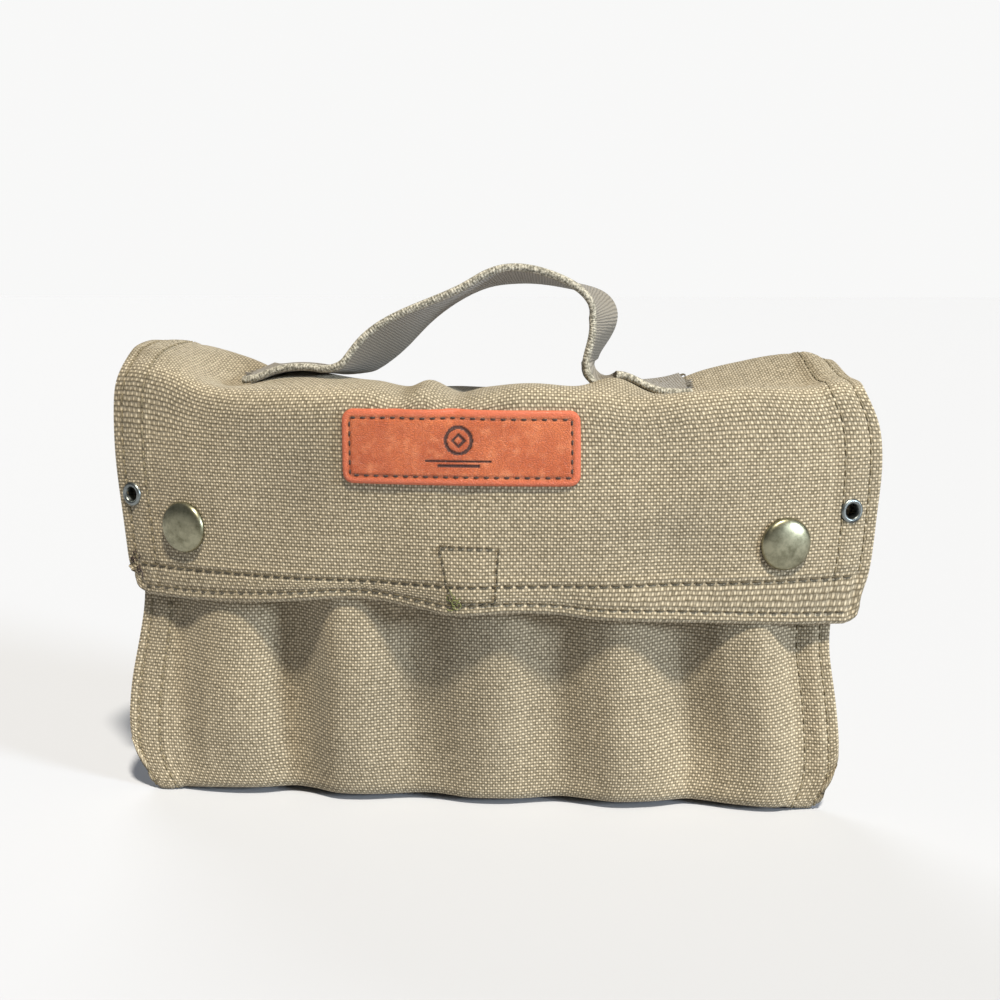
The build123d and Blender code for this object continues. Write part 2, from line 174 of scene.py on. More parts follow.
def column_points(u):
    """Control points of every column: u is the distance across the cloth from its middle."""
    left = u < 0
    share = np.abs(u) / HALF
    sign = np.sign(u)
    flange = smooth(96, 103, np.abs(u))
    corner = corner_lift(u, POUCH_ROUND)
    points = []

    def add(x, y, z):
        points.append(np.stack([x, y, z], axis=-1))

    def lower_x(z):
        return sign * share * np.where(left, through(POUCH_LEFT, z), through(POUCH_RIGHT, z))

    # down the front, and under
    for z in FRONT_ZS:
        zz = z + 0 * u + corner * smooth(24, 4, z)
        x = lower_x(z)
        add(x, front_y(x, zz), zz)
    x = lower_x(0)
    near, far = front_y(x, 1.5 + corner), back_y(x, 1.5 + corner)
    low = 0.75 + corner
    add(x, near, low + 1.2)
    add(x, near + 0.15 * (far - near), low + 0 * u)
    add(x, (near + far) / 2, low + 0.25 * (1 - flange))
    add(x, far - 0.15 * (far - near), low + 0 * u)
    add(x, far, low + 1.2)
    # up the back
    for z in BACK_ZS:
        zz = z + 0 * u + corner * smooth(24, 4, z)
        x = lower_x(z)
        add(x, back_y(x, zz), zz)

    top_back = through(BACK_FOLD, u)
    for z in UPPER_BACK_ZS:
        half = HALF + 0.5 - 7 * smooth(100, 132, z)
        x = sign * share * half
        add(x, back_y(x, z + 0 * u), z + (top_back - 132) * smooth(95, 130, z))
    x = u * (104.5 / HALF)
    back = back_y(x, 130.0 + 0 * u) - 1.0 + 1.5 * bump(u, 95, 12)
    add(x, back, top_back - 6)
    add(x, back, top_back - 0.6)
    add(x, back - 3.5, top_back)
    # over the top: a sag between its long edges, a hump and a crest by the handle's ends, and two dents
    ridge = through(FRONT_FOLD, u) - 1
    fold = ridge + 1 - through(FOLD_DROP, u)
    hump = 6.4 * bump(u, 42, 9.5)
    crest = 4.2 * bump(u, -60, 19)
    dent = 3.2 * bump(u, -80, 9) + 1.2 * bump(u, 70, 14)
    sag = 1 - 2.6 * smooth(86, 106, -u) - 1.4 * smooth(98, 112, u)
    front_x = sign * share * 112.0
    front = arc(FLAP_R, front_x)
    for t, lump, arch in ((0.22, 0.1, 0.4), (0.42, 0.4, 1.0), (0.6, 0.8, 0.7), (0.76, 1.0, 0.2)):
        add(x + (front_x - x) * t, back - 3.5 + (front + 7.5 - back) * t,
            top_back + (ridge - top_back) * smooth(0, 0.76, t) + hump * lump + crest * arch
            - (1.4 * sag + dent) * math.sin(math.pi * t))
    add(front_x, front + 5.5, fold + 1.4 - 0.8 * smooth(30, 60, u))
    add(front_x, front + 1.4, fold - 0.6)
    # down the flap
    for z in FLAP_ZS:
        x = sign * share * flap_half(u, z)
        zz = z + (fold - 130) * smooth(108, 128, z)
        add(x, arc(FLAP_R, x) + flap_wave(x, zz), zz)
    low = through(FLAP_LOW, u * 113 / HALF)
    lift = corner_lift(u, FLAP_ROUND)
    x = sign * share * np.where(left, 110.2, 113.8)
    for above in (3.0, 0.0):
        zz = low + above + lift
        add(x, arc(FLAP_R, x) + flap_wave(x, zz), zz)
    return np.stack(points)


def flap_wave(x, z):
    """How the hanging flap leaves its even curve: shallow hollows and a wavy lower edge."""
    edge = 1 - smooth(60, 90, z)
    wave = 1.9 * bump(x, -32, 14) * (1 - smooth(72, 102, z)) - 2.0 * bump(x, -2, 13) * (1 - smooth(74, 102, z))
    wave += 1.0 * bump(x, 24, 10) * edge - 0.7 * bump(x, 44, 12) * edge
    wave += 3.4 * bump(x, 58, 15) * bump(z, 79, 11) + 1.3 * bump(x, -56, 20) * bump(z, 92, 15)
    wave += 0.7 * bump(x, -88, 12) * bump(z, 122, 7)
    calm = 1 - bump(np.abs(x), 90.5, 13) * bump(z, 84.3, 14)
    return wave * calm


def spline_rows(points, rows):
    """A clamped cubic B-spline from the first control point to the last, at parameters from 0 to 1."""
    n = len(points)
    knots = np.concatenate([[0] * 3, np.linspace(0, 1, n - 2), [1] * 3])
    t = np.clip(rows, 0, 1 - 1e-9)
    basis = np.array([(t >= knots[i]) & (t < knots[i + 1]) for i in range(n + 3)], float)
    for degree in (1, 2, 3):
        new = []
        for i in range(n + 3 - degree):
            a, b = knots[i + degree] - knots[i], knots[i + degree + 1] - knots[i + 1]
            left = (t - knots[i]) / a * basis[i] if a > 0 else 0 * t
            right = (knots[i + degree + 1] - t) / b * basis[i + 1] if b > 0 else 0 * t
            new.append(left + right)
        basis = np.array(new)
    return np.einsum("kr,knc->rnc", basis[:n], points)


def normals_of(grid):
    """The outward direction at each point of a grid."""
    du = np.gradient(grid, axis=1)
    ds = np.gradient(grid, axis=0)
    return unit(np.cross(ds, du))


U = np.concatenate([
    np.linspace(-115, -100, 22)[:-1], np.linspace(-100, 100, 151)[:-1], np.linspace(100, 115, 22)])
CONTROL = column_points(U)
_fine = np.linspace(0, 1, 2400)
_mid = spline_rows(CONTROL[:, len(U) // 2:len(U) // 2 + 1], _fine)[:, 0]
_run = distances(_mid)
LENGTH = _run[-1]
S = np.concatenate([
    np.linspace(0, 12, 19)[:-1], np.linspace(12, LENGTH - 12, int(LENGTH / 1.3))[:-1],
    np.linspace(LENGTH - 12, LENGTH, 21)])
BASE = spline_rows(CONTROL, np.interp(S, _run, _fine))
NORMAL = normals_of(BASE)
_z, _y = _mid[:, 2], _mid[:, 1]
BOTTOM_S = _run[np.argmin(_z[:1400])]


def s_where(test):
    """Length along the strip's middle where a test first holds."""
    return _run[np.argmax(test)]


SEAM_FRONT = 14.0  # the side seams start this far under the mouth
CUT_BACK = s_where((_run > BOTTOM_S + 30) & (_z > 103))
SEAM_BACK = s_where((_run > BOTTOM_S + 30) & (_z > 88))
CUT_TOP = s_where((_run > CUT_BACK + 10) & (_z > 120) & (_y < 4))
FLAP_FOLD = s_where((_run > CUT_TOP + 5) & (_y < -22))


def relief(u, s):
    """Hems stand a little proud, and stitch lines are drawn in."""
    a = HALF - np.abs(u)
    hemmed = (1 - smooth(HEM - 0.8, HEM + 0.8, a))
    up = 0.5 * hemmed - 0.15 * bump(a, HEM + 1.6, 1.0)
    for row in SIDE_ROWS:
        up = up - 0.55 * bump(a, row, 0.85)
    low = LENGTH - s
    flap_hem = 1 - smooth(9.2, 10.6, low)
    up = up + 0.35 * flap_hem * (1 - hemmed)
    for row in LOW_ROWS:
        up = up - 0.4 * bump(low, row, 0.75) * (a > 2)
    pucker = 0.16 * np.sin(u * 1.9 + 2 * np.sin(u * 0.31)) * bump(low, 5, 4)
    pucker += 0.13 * np.sin(s * 1.7 + 2 * np.sin(s * 0.23)) * bump(a, 7, 4)
    return up + pucker


def ripples(u, s):
    """Small creases that handled canvas keeps."""
    r = 0.22 * np.sin(u / 9.0 + 1.3 * np.sin(s / 31.0)) * np.sin(s / 13.0 + 0.8)
    r += 0.16 * np.sin(u / 4.7 + s / 11.0 + 2.0 * np.sin(u / 23.0))
    r += 0.12 * np.sin(u / 17.0 - s / 6.1)
    still = np.zeros_like(r)
    for x in (-90, 90):
        still = np.maximum(still, bump(u, x, 12) * bump(s, LENGTH - 21, 12))
    return r * (1 - still)


UU, SS = np.meshgrid(U, S)
OUTER = BASE + NORMAL * (relief(UU, SS) + ripples(UU, SS))[..., None]
_edge = HALF - np.abs(UU)
_hem_side = (1 - smooth(HEM - 0.6, HEM + 0.6, _edge)) * smooth(SEAM_BACK, SEAM_BACK + 6, SS)
_hem_low = 1 - smooth(8.6, 10.0, LENGTH - SS)
_hem_mouth = 1 - smooth(8.4, 9.6, SS)
THICK = CLOTH + HEM_FOLD * np.maximum(np.maximum(_hem_side, _hem_low), _hem_mouth)
INNER = OUTER - NORMAL * THICK[..., None]


def look(i, u, points, normals):
    """Point and normal of a grid at row i and column u, with fractions."""
    i = np.clip(i, 0, len(points) - 1.001)
    j = np.clip(np.interp(u, U, np.arange(len(U))), 0, len(U) - 1.001)
    a, b = i.astype(int), j.astype(int)
    fi, fj = (i - a)[..., None], (j - b)[..., None]
    p, n = ((1 - fi) * (1 - fj) * grid[a, b] + (1 - fi) * fj * grid[a, b + 1]
            + fi * (1 - fj) * grid[a + 1, b] + fi * fj * grid[a + 1, b + 1] for grid in (points, normals))
    return p, unit(n)


def at(u, s):
    """Point and normal of the strip's outer face at cloth position (u, s)."""
    return look(np.interp(s, S, np.arange(len(S))), u, OUTER, NORMAL)


# The hanging flap as a table over height and column, for what is fixed to it at a known place.
TABLE_STEP = 0.25
TABLE_Z = np.arange(58, 126, TABLE_STEP)
_from = int(np.searchsorted(S, FLAP_FOLD - 6))
TABLE = np.stack([
    np.stack([np.interp(-TABLE_Z, -BASE[_from:, j, 2], BASE[_from:, j, k]) for k in range(3)], -1)
    for j in range(len(U))], 1)
TABLE_N = unit(np.cross(np.gradient(TABLE, axis=1), np.gradient(TABLE, axis=0)))
TABLE_N *= -np.sign(TABLE_N[..., 1:2])


def on_flap(x, z):
    """Points and normals of the flap's cloth at given X and Z."""
    x, z = np.broadcast_arrays(np.asarray(x, float), np.asarray(z, float))
    u = HALF * x / flap_half(x, z)
    return look((z - TABLE_Z[0]) / TABLE_STEP, u, TABLE, TABLE_N)


# ---- meshes

ROUND_STEPS = 3  # points round each edge of the webbing
# along a stitch: share of its length, height over the cloth and thickness, as shares of its radius
STITCH_RINGS = [(0.0, -0.9, 0.35), (0.1, 0.0, 0.8), (0.32, 0.75, 1.0), (0.68, 0.75, 1.0), (0.9, 0.0, 0.8),
                (1.0, -0.9, 0.35)]


def link(obj):
    bpy.context.scene.collection.objects.link(obj)
    return obj


def mesh_object(name, verts, faces, material, uv=None, tint=None, sharp=None):
    """verts in mm. uv holds a pair per vertex, in mm of cloth. tint is a number per vertex."""
    mesh = bpy.data.meshes.new(name)
    mesh.from_pydata((np.asarray(verts, float) * MM).tolist(), [], [list(map(int, f)) for f in faces])
    mesh.materials.append(material)
    loops = np.empty(len(mesh.loops), dtype=np.int32)
    mesh.loops.foreach_get("vertex_index", loops)
    if uv is not None:
        layer = mesh.uv_layers.new(name="cloth")
        layer.data.foreach_set("uv", (np.asarray(uv, float)[loops] / UV_UNIT).astype(np.float32).ravel())
    if tint is not None:
        attribute = mesh.attributes.new("tint", "FLOAT", "POINT")
        attribute.data.foreach_set("value", np.asarray(tint, np.float32))
    mesh.polygons.foreach_set("use_smooth", [True] * len(mesh.polygons))
    if sharp is not None:
        ends = np.empty(2 * len(mesh.edges), dtype=np.int32)
        mesh.edges.foreach_get("vertices", ends)
        mesh.edges.foreach_set("use_edge_sharp", np.isin(ends.reshape(-1, 2), sharp).all(axis=1))
    mesh.update()
    return link(bpy.data.objects.new(name, mesh))


def shell(name, outer, inner, uu, ss, material, tint=None, rims=(True, True), holes=(), round_off=0.35):
    """A closed sheet between two grids, with its free edges rounded, and with holes at given places."""
    m, n = outer.shape[:2]
    count = m * n
    verts = [outer.reshape(-1, 3), inner.reshape(-1, 3)]
    cloth = np.stack([uu, ss], -1).reshape(-1, 2)
    index = np.arange(count).reshape(m, n)
    a, b, c, d = index[:-1, :-1], index[1:, :-1], index[1:, 1:], index[:-1, 1:]
    cells = np.stack([a, b, c, d], -1)
    gone = np.zeros(a.shape, bool)
    middles = (outer[:-1, :-1] + outer[1:, :-1] + outer[1:, 1:] + outer[:-1, 1:]) / 4
    for place, radius in holes:
        gone |= np.linalg.norm(middles - place, axis=-1) < radius
    front = cells[~gone]
    faces = [front, front[:, ::-1] + count]
    for i, j in np.argwhere(gone):
        sides = (((i - 1, j), a[i, j], d[i, j]), ((i + 1, j), c[i, j], b[i, j]),
                 ((i, j - 1), b[i, j], a[i, j]), ((i, j + 1), d[i, j], c[i, j]))
        for cell, p, q in sides:
            if not gone[cell]:
                faces.append(np.array([[q, p, p + count, q + count]])[:, ::-1])
    ring = np.concatenate([index[0, :-1], index[:-1, -1], index[-1, :0:-1], index[:0:-1, 0]])
    rim_out, rim_in = verts[0][ring], verts[1][ring]
    centre_i = np.clip(ring // n, 1, m - 2)
    centre_j = np.clip(ring % n, 1, n - 2)
    inside = (outer[centre_i, centre_j] + inner[centre_i, centre_j]) / 2
    middle = (rim_out + rim_in) / 2
    away = unit(middle - inside)
    thick = np.linalg.norm(rim_out - rim_in, axis=1, keepdims=True)
    row = (ring // n)[:, None]
    free = 1.0 - ((row == 0) & (not rims[0]) | (row == m - 1) & (not rims[1]))
    middle = middle + away * thick * round_off * free
    verts.append(middle)
    base = 2 * count
    k = np.arange(len(ring))
    k2 = (k + 1) % len(ring)
    faces.append(np.stack([ring[k], base + k, base + k2, ring[k2]], -1)[:, ::-1])
    faces.append(np.stack([base + k, ring[k] + count, ring[k2] + count, base + k2], -1)[:, ::-1])
    all_faces = np.concatenate(faces)[:, ::-1]
    shade = None
    if tint is not None:
        shade = np.concatenate([tint.ravel(), tint.ravel(), tint.ravel()[ring]])
    cut = ring[free[:, 0] == 0]
    return mesh_object(
        name, np.concatenate(verts), all_faces, material, np.concatenate([cloth, cloth, cloth[ring]]), shade,
        sharp=np.concatenate([cut, cut + count]))


def rounded_band(path, across, width, thick, ribs):
    """A flat band along a path: across is the width direction at each point. Returns verts, faces and uv."""
    path, across = np.asarray(path, float), np.asarray(across, float)
    along = unit(np.gradient(path, axis=0))
    across = unit(across - along * np.sum(across * along, axis=1, keepdims=True))
    up = np.cross(along, across)
    flat, r = (width - thick) / 2, thick / 2
    section = []
    for end in (1, -1):
        section += [(end * (2 * flat * k / ribs - flat), end * r) for k in range(ribs + 1)]
        for k in range(1, ROUND_STEPS + 1):
            t = math.pi * k / (ROUND_STEPS + 1)
            section.append((end * (flat + math.sin(t) * r), end * math.cos(t) * r))
    n = len(section)
    sec = np.array(section)
    verts = path[:, None] + across[:, None] * sec[None, :, :1] + up[:, None] * sec[None, :, 1:]
    run = distances(path)
    uv = np.stack(np.broadcast_arrays(sec[None, :, 0] + 0 * run[:, None], run[:, None]), -1)
    m = len(path)
    index = np.arange(m * n).reshape(m, n)
    nxt = np.roll(index, -1, axis=1)
    faces = np.stack([index[:-1], index[1:], nxt[1:], nxt[:-1]], -1).reshape(-1, 4).tolist()
    faces.append(index[0].tolist())
    faces.append(index[-1, ::-1].tolist())
    return verts.reshape(-1, 3), faces, uv.reshape(-1, 2)


def ring_faces(rings, sides):
    """Faces between each ring of points and the next."""
    return [[i * sides + k, i * sides + (k + 1) % sides, (i + 1) * sides + (k + 1) % sides, (i + 1) * sides + k]
            for i in range(rings - 1) for k in range(sides)]


def capsule(a, b, normal, radius, lift, sides=6):
    """One stitch: a short thread lying on the cloth from a to b, its ends going down into it."""
    a, b = np.array(a), np.array(b)
    along = b - a
    size = np.linalg.norm(along)
    along = along / max(size, TINY)
    across = np.cross(normal, along)
    across /= np.linalg.norm(across)
    verts = []
    for t, up, r in STITCH_RINGS:
        c = a + along * size * t + normal * (lift + radius * up * 0.6)
        for k in range(sides):
            w = 2 * math.pi * k / sides
            verts.append(c + (across * math.cos(w) + normal * math.sin(w)) * radius * r)
    faces = ring_faces(len(STITCH_RINGS), sides)
    faces.append(list(range(sides))[::-1])
    faces.append([(len(STITCH_RINGS) - 1) * sides + k for k in range(sides)])
    return verts, faces


def joined(name, parts, material):
    """One object from many small pieces."""
    verts, faces, base = [], [], 0
    for v, f in parts:
        verts += list(v)
        faces += [[i + base for i in q] for q in f]
        base += len(v)
    return mesh_object(name, verts, faces, material)


# ---- materials

class Nodes:
    """A short hand for building a material's nodes."""

    def __init__(self, name):
        self.material = bpy.data.materials.new(name)
        self.material.use_nodes = True
        self.tree = self.material.node_tree
        self.shader = self.tree.nodes["Principled BSDF"]

    def put(self, value, socket):
        if hasattr(value, "links"):
            self.tree.links.new(value, socket)
        else:
            socket.default_value = value

    def math(self, operation, *values):
        made = self.new("Math", operation)
        for socket, value in zip(made.inputs, values):
            self.put(value, socket)
        return made.outputs[0]

    def times(self, a, b):
        return self.math("MULTIPLY", a, b)

    def plus(self, a, b):
        return self.math("ADD", a, b)

    def minus(self, a, b):
        return self.math("SUBTRACT", a, b)

    def new(self, kind, operation=None, **inputs):
        """A node, with its inputs linked or set. An underscore stands for a space."""
        made = self.tree.nodes.new("ShaderNode" + kind)
        if operation:
            made.operation = operation
        for name, value in inputs.items():
            self.put(value, made.inputs[name.replace("_", " ")])
        return made

    def noise(self, vector, scale, detail=3.0, rough=0.5):
        return self.new("TexNoise", Vector=vector, Scale=scale, Detail=detail, Roughness=rough).outputs["Fac"]

    def chance(self, number):
        """A value of its own for each whole number, such as each thread."""
        made = self.new("TexWhiteNoise")
        made.noise_dimensions = "1D"
        self.put(number, made.inputs["W"])
        return made.outputs["Value"]

    def mix(self, factor, a, b, blend="MIX"):
        made = self.new("Mix")
        made.data_type = "RGBA"
        made.blend_type = blend
        for k, value in ((0, factor), (6, a), (7, b)):
            self.put(value, made.inputs[k])
        return made.outputs[2]

    def ramp(self, value, low, high):
        return self.new("MapRange", Value=value, From_Min=low, From_Max=high).outputs[0]

    def thread(self, position):
        """Whole threads before a position, and the rise and fall across the thread under it."""
        share = self.math("FRACT", position)
        return self.math("FLOOR", position), self.math("SINE", self.times(share, math.pi))

    def uv(self):
        coordinates = self.new("UVMap")
        coordinates.uv_map = "cloth"
        return self.new("SeparateXYZ", Vector=coordinates.outputs[0]).outputs[:2]

    def place(self):
        return self.new("TexCoord").outputs["Object"]

    def bump(self, height, distance, strength=1.0):
        return self.new("Bump", Height=height, Distance=distance, Strength=strength).outputs[0]

    def finish(self, **inputs):
        """The material, with its shader's inputs linked or set."""
        for name, value in inputs.items():
            self.put(value, self.shader.inputs[name.replace("_", " ")])
        return self.material


def rgb(r, g, b):
    """A colour given as sRGB 0 to 255."""
    def linear(c):
        c /= 255
        return c / 12.92 if c <= 0.04045 else ((c + 0.055) / 1.055) ** 2.4
    return (linear(r), linear(g), linear(b), 1.0)


def weave_material(name, light, dark, pitch_u, pitch_v, depth):
    """Plain weave: one thread over the next, with slubs, worn lights, and painted shade: its colour follows the
    threads' height, so the gaps between threads are darker.
    """
    m = Nodes(name)
    u, v = m.uv()
    place = m.place()
    wander = m.times(m.minus(m.noise(place, 260.0, 2.0), 0.5), 0.55)
    wander_v = m.times(m.minus(m.noise(place, 300.0, 1.0), 0.5), 0.5)
    cu = m.plus(m.times(u, UV_UNIT / pitch_u), wander)
    cv = m.plus(m.times(v, UV_UNIT / pitch_v), wander_v)
    (thread_u, du), (thread_v, dv) = m.thread(cu), m.thread(cv)
    parity = m.math("FLOORED_MODULO", m.plus(thread_u, thread_v), 2.0)
    dome = m.times(m.math("POWER", du, 0.7), m.math("POWER", dv, 0.7))
    long_dome = m.times(m.math("POWER", du, 0.5), m.math("POWER", dv, 1.0))
    warp = m.times(long_dome, m.minus(1.0, parity))
    weft = m.times(m.times(dome, parity), 0.42)
    height = m.plus(warp, weft)
    slub = m.noise(place, 900.0, 2.0)
    patch = m.noise(place, 22.0, 3.0)
    # painted shade: the colour follows the threads' height, darker in the gaps between threads and lighter on
    # the crests; slubs and odd threads add random tone of the cloth's own
    shade_and_slub_tone = m.plus(m.times(height, 0.82), m.times(m.minus(slub, 0.5), 0.6))
    odd = m.minus(m.plus(m.chance(thread_u), m.chance(thread_v)), 1.0)
    shade_and_slub_tone = m.plus(shade_and_slub_tone, m.times(odd, 0.045))
    colour = m.mix(m.ramp(shade_and_slub_tone, 0.02, 0.9), dark, light)
    worn = m.mix(m.ramp(patch, 0.3, 0.72), (0.86, 0.85, 0.83, 1), (1.08, 1.06, 1.02, 1))
    rise = m.plus(height, m.times(m.noise(place, 4200.0, 2.0), 0.35))
    return m.finish(
        Base_Color=m.mix(1.0, colour, worn, "MULTIPLY"), Normal=m.bump(rise, depth), Roughness=0.9,
        Specular_IOR_Level=0.25, Sheen_Weight=0.25, Sheen_Roughness=0.5, Sheen_Tint=(0.95, 0.88, 0.72, 1))


def webbing_material(name):
    """Ribbed cotton webbing, with painted shade in the grooves between ribs, and its folded edges speckled and
    painted paler as a highlight.
    """
    m = Nodes(name)
    u, v = m.uv()
    place = m.place()
    cu = m.times(u, UV_UNIT / 1.1)
    cv = m.plus(m.times(v, UV_UNIT / 0.85), m.times(m.noise(place, 500.0, 1.0), 0.6))
    row, rib = m.thread(cv)
    _, cell = m.thread(m.plus(cu, m.times(row, 0.5)))
    height = m.plus(m.times(rib, 0.45), m.times(m.times(rib, cell), 0.6))
    speck = m.noise(place, 1300.0, 2.0, 0.7)
    edge = m.ramp(m.math("ABSOLUTE", u), 0.1095, 0.1185)
    # painted shade: the colour follows the ribs' height, darker in the grooves
    base = m.mix(m.ramp(height, 0.1, 1.0), rgb(98, 92, 82), rgb(134, 127, 115))
    # painted highlight: both folded edges are paler, over a speckle of the webbing's own
    edge_speck_and_highlight = m.mix(m.ramp(speck, 0.42, 0.62), rgb(108, 104, 92), rgb(188, 182, 166))
    return m.finish(
        Base_Color=m.mix(edge, base, edge_speck_and_highlight), Normal=m.bump(m.plus(height, m.times(speck, 0.6)), 0.00014),
        Roughness=0.88, Specular_IOR_Level=0.25, Sheen_Weight=0.2)


def leather_material():
    """Grained tan leather. A stamp or stitch line is dark, and the rim is paler."""
    m = Nodes("tan_leather")
    place = m.place()
    drift = m.new("TexNoise", Scale=700.0, Vector=place).outputs["Color"]
    shrunk = m.new("VectorMath", "SCALE", Vector=drift, Scale=0.0007)
    stretched = m.new("Mapping", Vector=place, Scale=(0.8, 1.0, 1.5))
    warped = m.new("VectorMath", "ADD", Vector=stretched.outputs[0])
    m.put(shrunk.outputs[0], warped.inputs[1])
    pores = m.new("TexVoronoi")
    pores.feature = "DISTANCE_TO_EDGE"
    m.put(warped.outputs[0], pores.inputs["Vector"])
    m.put(1500.0, pores.inputs["Scale"])
    grain = m.ramp(pores.outputs["Distance"], 0.0, 0.16)
    cloud = m.noise(place, 45.0, 4.0, 0.6)
    streak = m.noise(place, 320.0, 3.0)
    colour = m.mix(m.ramp(cloud, 0.32, 0.7), rgb(168, 76, 40), rgb(202, 112, 68))
    colour = m.mix(m.times(m.minus(1.0, grain), 0.42), colour, rgb(120, 48, 22))
    colour = m.mix(m.times(m.ramp(streak, 0.5, 0.75), 0.4), colour, rgb(228, 148, 104))
    tint = m.new("Attribute")
    tint.attribute_name = "tint"
    stamp = tint.outputs["Fac"]
    colour = m.mix(m.ramp(stamp, 0.0, 1.0), colour, rgb(74, 44, 38))
    colour = m.mix(m.ramp(stamp, 0.0, -1.0), colour, rgb(194, 100, 68))
    return m.finish(
        Base_Color=colour, Normal=m.bump(m.plus(grain, m.times(streak, 0.6)), 0.00011),
        Roughness=m.plus(0.36, m.times(cloud, 0.22)), Specular_IOR_Level=0.45, Coat_Weight=0.08,
        Coat_Roughness=0.4)


def metal_material(name, base, tarnish, rough, spots=0.35, scratch=0.6):
    """Worn metal with clouds of tarnish and small dark spots."""
    m = Nodes(name)
    place = m.place()
    cloud = m.noise(place, 240.0, 4.0, 0.65)
    fine = m.noise(place, 1700.0, 3.0, 0.6)
    colour = m.mix(m.ramp(cloud, 0.42, 0.68), base, tarnish)
    colour = m.mix(m.times(m.ramp(fine, 0.55, 0.7), spots), colour, (0.05, 0.045, 0.03, 1))
    return m.finish(
        Base_Color=colour, Metallic=1.0, Roughness=m.plus(rough, m.times(fine, 0.22)),
        Normal=m.bump(m.plus(fine, cloud), 0.00003, scratch))


def thread_material(name, colour, second):
    """Twisted thread in two close colours."""
    m = Nodes(name)
    place = m.place()
    twist = m.noise(place, 2600.0, 2.0)
    return m.finish(
        Base_Color=m.mix(m.ramp(twist, 0.35, 0.65), colour, second), Normal=m.bump(twist, 0.0001),
        Roughness=0.7, Sheen_Weight=0.15)


CANVAS = weave_material("khaki_canvas", rgb(209, 196, 172), rgb(96, 87, 69), 0.86, 1.0, 0.00023)
TAPE = weave_material("binding_tape", rgb(132, 116, 82), rgb(72, 62, 42), 0.6, 0.6, 0.0002)
WEBBING = webbing_material("grey_webbing")
LEATHER = leather_material()
BRASS = metal_material("antique_brass", rgb(152, 149, 126), rgb(106, 104, 84), 0.24, 0.12, 0.4)
BRASS_RAW = metal_material("raw_brass", rgb(168, 150, 96), rgb(120, 104, 62), 0.35)
NICKEL = metal_material("dull_nickel", rgb(132, 137, 136), rgb(74, 78, 78), 0.26, 0.3, 0.5)
STEEL = metal_material("spring_steel", rgb(180, 180, 178), rgb(130, 130, 128), 0.3)
THREAD = thread_material("olive_thread", rgb(84, 72, 44), rgb(52, 44, 26))
THREAD_LIGHT = thread_material("grey_thread", rgb(134, 122, 94), rgb(98, 88, 66))
THREAD_GREEN = thread_material("green_thread", rgb(120, 122, 66), rgb(84, 88, 44))
THREAD_DARK = thread_material("dark_thread", rgb(58, 34, 24), rgb(34, 20, 14))

CAD_LOOKS = (("snap_stud", BRASS_RAW), ("snap_post", BRASS_RAW), ("snap_socket", BRASS_RAW),
             ("snap_spring", STEEL), ("eyelet", NICKEL), ("handle", WEBBING), ("leather_label", LEATHER))
for node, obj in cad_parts.items():
    material = next((look_of for start, look_of in CAD_LOOKS if node.startswith(start)), CANVAS)
    for slot in obj.material_slots:
        slot.material = material

# ---- canvas pieces


def rows_between(a, b):
    return slice(int(np.searchsorted(S, a)), int(np.searchsorted(S, b)) + 1)


def strip_piece(name, rows, rims, holes=()):
    return shell(name, OUTER[rows], INNER[rows], UU[rows], SS[rows], CANVAS, rims=rims, holes=holes)


ROWS_POUCH, ROWS_BACK, ROWS_FLAP = (
    rows_between(0, CUT_BACK), rows_between(CUT_BACK, CUT_TOP), rows_between(CUT_TOP, LENGTH))
pouch = strip_piece("pouch_canvas", ROWS_POUCH, (True, False))
back = strip_piece("top_canvas", ROWS_BACK, (False, False))
flap = strip_piece("flap_canvas", ROWS_FLAP, (False, True), [(on_flap(x, z)[0], 2.7) for _, x, z in EYELETS])


# ---- stitches


def stitch_row(points, pitch, size, radius, lift=0.0):
    """Stitches along a run of cloth positions (u, s). Each lies on the cloth for size of every pitch."""
    points = np.asarray(points, float)
    upright = abs(points[0][0] - points[-1][0]) <= 20
    steps = distances(points)
    made = []
    k = 0
    while k * pitch + size < steps[-1]:
        wobble = 0.12 * math.sin(k * 2.4 + points[0][0])
        ends = []
        for d in (k * pitch, k * pitch + size):
            u, s = np.interp(d, steps, points[:, 0]), np.interp(d, steps, points[:, 1])
            ends.append(at(u + wobble * upright, s))
        (a, na), (b, nb) = ends
        made.append(capsule(a, b, (na + nb) / np.linalg.norm(na + nb), radius, lift))
        k += 1
    return made


def along(u, s0, s1):
    """A run down the strip at one place across it."""
    return [(u, s) for s in np.arange(s0, s1, RUN_STEP)] + [(u, s1)]


def across(s, u0, u1):
    """A run across the strip at one place along it."""
    return [(u, s) for u in np.arange(u0, u1, RUN_STEP)] + [(u1, s)]


RUN_STEP = 4
# pitch, stitch length, thread radius and lift
SIDE_STITCH, HEM_STITCH = (2.9, 2.15, 0.28, 0.12), (3.4, 2.7, 0.34, 0.22)
MOUTH_STITCH, BOX_STITCH = (3.0, 2.2, 0.2), (2.7, 2.2, 0.34, 0.22)
stitches = {"pouch": [], "top": [], "flap": [], "hem": []}
for side in (-1, 1):
    for inset in SIDE_ROWS:
        u = side * (HALF - inset)
        flap_end = LENGTH - (8.0 if inset > 5 else 6.5)
        for body, s0, s1 in (
                ("pouch", SEAM_FRONT, BOTTOM_S - 4), ("pouch", BOTTOM_S + 6, CUT_BACK - 1),
                ("top", CUT_BACK + 0.5, CUT_TOP - 1), ("flap", CUT_TOP + 0.5, flap_end)):
            stitches[body] += stitch_row(along(u, s0, s1), *SIDE_STITCH)
for row in LOW_ROWS:
    stitches["hem"] += stitch_row(across(LENGTH - row, -HALF + 4.5, HALF - 4.5), *HEM_STITCH)
for row in MOUTH_ROWS:
    stitches["pouch"] += stitch_row(across(row, -HALF + 3, HALF - 3), *MOUTH_STITCH)
